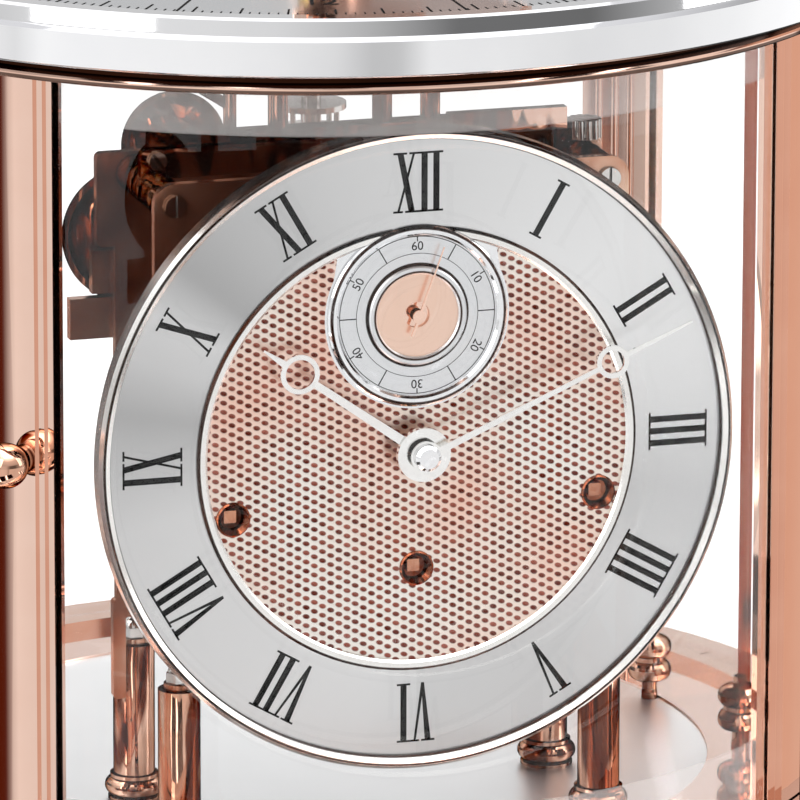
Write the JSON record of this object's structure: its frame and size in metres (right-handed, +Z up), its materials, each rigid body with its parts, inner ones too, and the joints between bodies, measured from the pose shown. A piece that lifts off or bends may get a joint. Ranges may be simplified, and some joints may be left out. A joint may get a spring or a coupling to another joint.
{
  "type": "tellurium clock",
  "caption": "Free-standing clock in a round glass case with a curved door, a striking movement and an orrery of sun, earth and moon on top.",
  "frame": {"origin": "middle of the floor that the feet stand on", "axes": "+Z up, dial faces -Y, +X to the right of the dial"},
  "size_m": [0.28, 0.28, 0.3177],
  "materials": {
    "nickel": "polished nickel plate",
    "steel": "polished steel",
    "copper": "polished copper plate",
    "mirror": "mirror",
    "glass": "clear",
    "clear_strip": "clear",
    "brass": "fine ground",
    "silvered": "silvered, finely brushed",
    "guilloche": "engine-turned copper",
    "hand_silver": "polished",
    "sun_gilt": "polished gilt",
    "globe_enamel": "gloss enamel",
    "moon_ivory": "half gloss"
  },
  "bodies": {
    "case": {"feet": "nickel", "base_plate": "steel", "base_ring": "nickel", "base_moulding": "copper", "floor_ring": "copper", "floor_mirror": "mirror", "case_posts": "copper", "case_glasses": "glass", "top_moulding": "copper", "top_ring": "nickel", "calendar_plate": "silvered", "hinge_pins": "steel", "front_plate": "copper", "back_plate": "copper", "plate_pillars": "copper", "plate_screws": "steel", "seat_rails": "copper", "support_columns": "copper", "column_collars": "copper", "balance_platform": "brass", "chime_bells": "copper", "drive_bracket": "copper", "floor_spindles": "copper", "dial_plate": "copper", "chapter_ring": "silvered", "copper_inlays": "guilloche", "dial_bezel": "nickel", "seconds_dial": "nickel", "winding_bushes": "copper", "sun_column": "copper"},
    "door": {"door_stile_left": "copper", "door_stile_right": "copper", "door_glass": "glass", "door_strips": "clear_strip", "door_knob": "copper"},
    "minute": {"minute_arbor": "steel", "minute_hand": "hand_silver", "hand_nut": "hand_silver"},
    "hour": {"hour_wheel": "brass", "hour_hand": "hand_silver"},
    "motion": {"motion_wheel": "brass"},
    "intermediate": {"intermediate_wheel": "brass"},
    "time_drum": {"time_barrel": "brass"},
    "strike_drum": {"strike_barrel": "brass"},
    "chime_drum": {"chime_barrel": "brass"},
    "winder_left": {"winding_arbor_left": "steel"},
    "winder_centre": {"winding_arbor_centre": "steel"},
    "winder_right": {"winding_arbor_right": "steel"},
    "seconds": {"seconds_hand": "hand_silver"},
    "balance": {"balance_wheel": "brass"},
    "strike": {"strike_hammer": "brass"},
    "chime": {"chime_hammer": "brass"},
    "orbit": {"drive_shaft": "steel", "orbit_arm": "copper", "sun": "sun_gilt"},
    "idler": {"idler_wheel": "brass"},
    "carrier": {"earth_carrier": "copper"},
    "earth": {"globe": "globe_enamel"},
    "lunar": {"moon": "moon_ivory"}
  },
  "joints": [
    {"name": "door_swing", "type": "hinge", "parent": "case", "child": "door", "pos_m": [0.09576, -0.08035, 0.13], "axis": [0, 0, 1], "range_deg": [0, 100]},
    {"name": "minute_turn", "type": "hinge", "parent": "case", "child": "minute", "pos_m": [0, -0.09, 0.13], "axis": [0, 1, 0], "continuous": true},
    {"name": "hour_turn", "type": "hinge", "parent": "case", "child": "hour", "pos_m": [0, -0.09, 0.13], "axis": [0, 1, 0], "continuous": true},
    {"name": "motion_turn", "type": "hinge", "parent": "case", "child": "motion", "pos_m": [0.018, -0.08, 0.13], "axis": [0, 1, 0], "continuous": true},
    {"name": "intermediate_turn", "type": "hinge", "parent": "case", "child": "intermediate", "pos_m": [-0.01677, -0.063, 0.12196], "axis": [0, 1, 0], "continuous": true},
    {"name": "time_drum_turn", "type": "hinge", "parent": "case", "child": "time_drum", "pos_m": [0, -0.045, 0.1008], "axis": [0, 1, 0], "continuous": true},
    {"name": "strike_drum_turn", "type": "hinge", "parent": "case", "child": "strike_drum", "pos_m": [-0.045, -0.045, 0.116], "axis": [0, 1, 0], "continuous": true},
    {"name": "chime_drum_turn", "type": "hinge", "parent": "case", "child": "chime_drum", "pos_m": [0.045, -0.045, 0.116], "axis": [0, 1, 0], "continuous": true},
    {"name": "winder_left_turn", "type": "hinge", "parent": "case", "child": "winder_left", "pos_m": [-0.045, -0.09, 0.116], "axis": [0, 1, 0], "continuous": true},
    {"name": "winder_centre_turn", "type": "hinge", "parent": "case", "child": "winder_centre", "pos_m": [0, -0.09, 0.1008], "axis": [0, 1, 0], "continuous": true},
    {"name": "winder_right_turn", "type": "hinge", "parent": "case", "child": "winder_right", "pos_m": [0.045, -0.09, 0.116], "axis": [0, 1, 0], "continuous": true},
    {"name": "seconds_turn", "type": "hinge", "parent": "case", "child": "seconds", "pos_m": [0, -0.09, 0.1625], "axis": [0, 1, 0], "continuous": true},
    {"name": "balance_swing", "type": "hinge", "parent": "case", "child": "balance", "pos_m": [0.02, -0.026, 0.164], "axis": [0, 1, 0], "range_deg": [-270, 270]},
    {"name": "strike_hammer_swing", "type": "hinge", "parent": "case", "child": "strike", "pos_m": [-0.018, -0.024, 0.155], "axis": [0, -1, 0], "range_deg": [0, 18]},
    {"name": "chime_hammer_swing", "type": "hinge", "parent": "case", "child": "chime", "pos_m": [-0.006, -0.01, 0.176], "axis": [0, -1, 0], "range_deg": [0, 18]},
    {"name": "orbit_turn", "type": "hinge", "parent": "case", "child": "orbit", "pos_m": [0, 0, 0.2438], "axis": [0, 0, 1], "continuous": true},
    {"name": "idler_turn", "type": "hinge", "parent": "orbit", "child": "idler", "pos_m": [0, -0.0425, 0.2548], "axis": [0, 0, 1], "continuous": true},
    {"name": "carrier_turn", "type": "hinge", "parent": "orbit", "child": "carrier", "pos_m": [0, -0.085, 0.2598], "axis": [0, 0, 1], "continuous": true},
    {"name": "globe_spin", "type": "hinge", "parent": "carrier", "child": "earth", "pos_m": [0, -0.085, 0.2998], "axis": [0.3987, 0, 0.9171], "continuous": true},
    {"name": "moon_turn", "type": "hinge", "parent": "carrier", "child": "lunar", "pos_m": [0, -0.085, 0.2688], "axis": [0, 0, 1], "continuous": true}
  ],
  "couplings": [
    {"joint": "hour_turn", "follows": "minute_turn", "ratio": 0.083333},
    {"joint": "motion_turn", "follows": "minute_turn", "ratio": -0.33333},
    {"joint": "intermediate_turn", "follows": "minute_turn", "ratio": -0.24},
    {"joint": "time_drum_turn", "follows": "minute_turn", "ratio": 0.03},
    {"joint": "globe_spin", "follows": "minute_turn", "ratio": 0.041667},
    {"joint": "idler_turn", "follows": "orbit_turn", "ratio": 1.7419},
    {"joint": "carrier_turn", "follows": "orbit_turn", "ratio": -1},
    {"joint": "moon_turn", "follows": "orbit_turn", "ratio": 13.37}
  ]
}
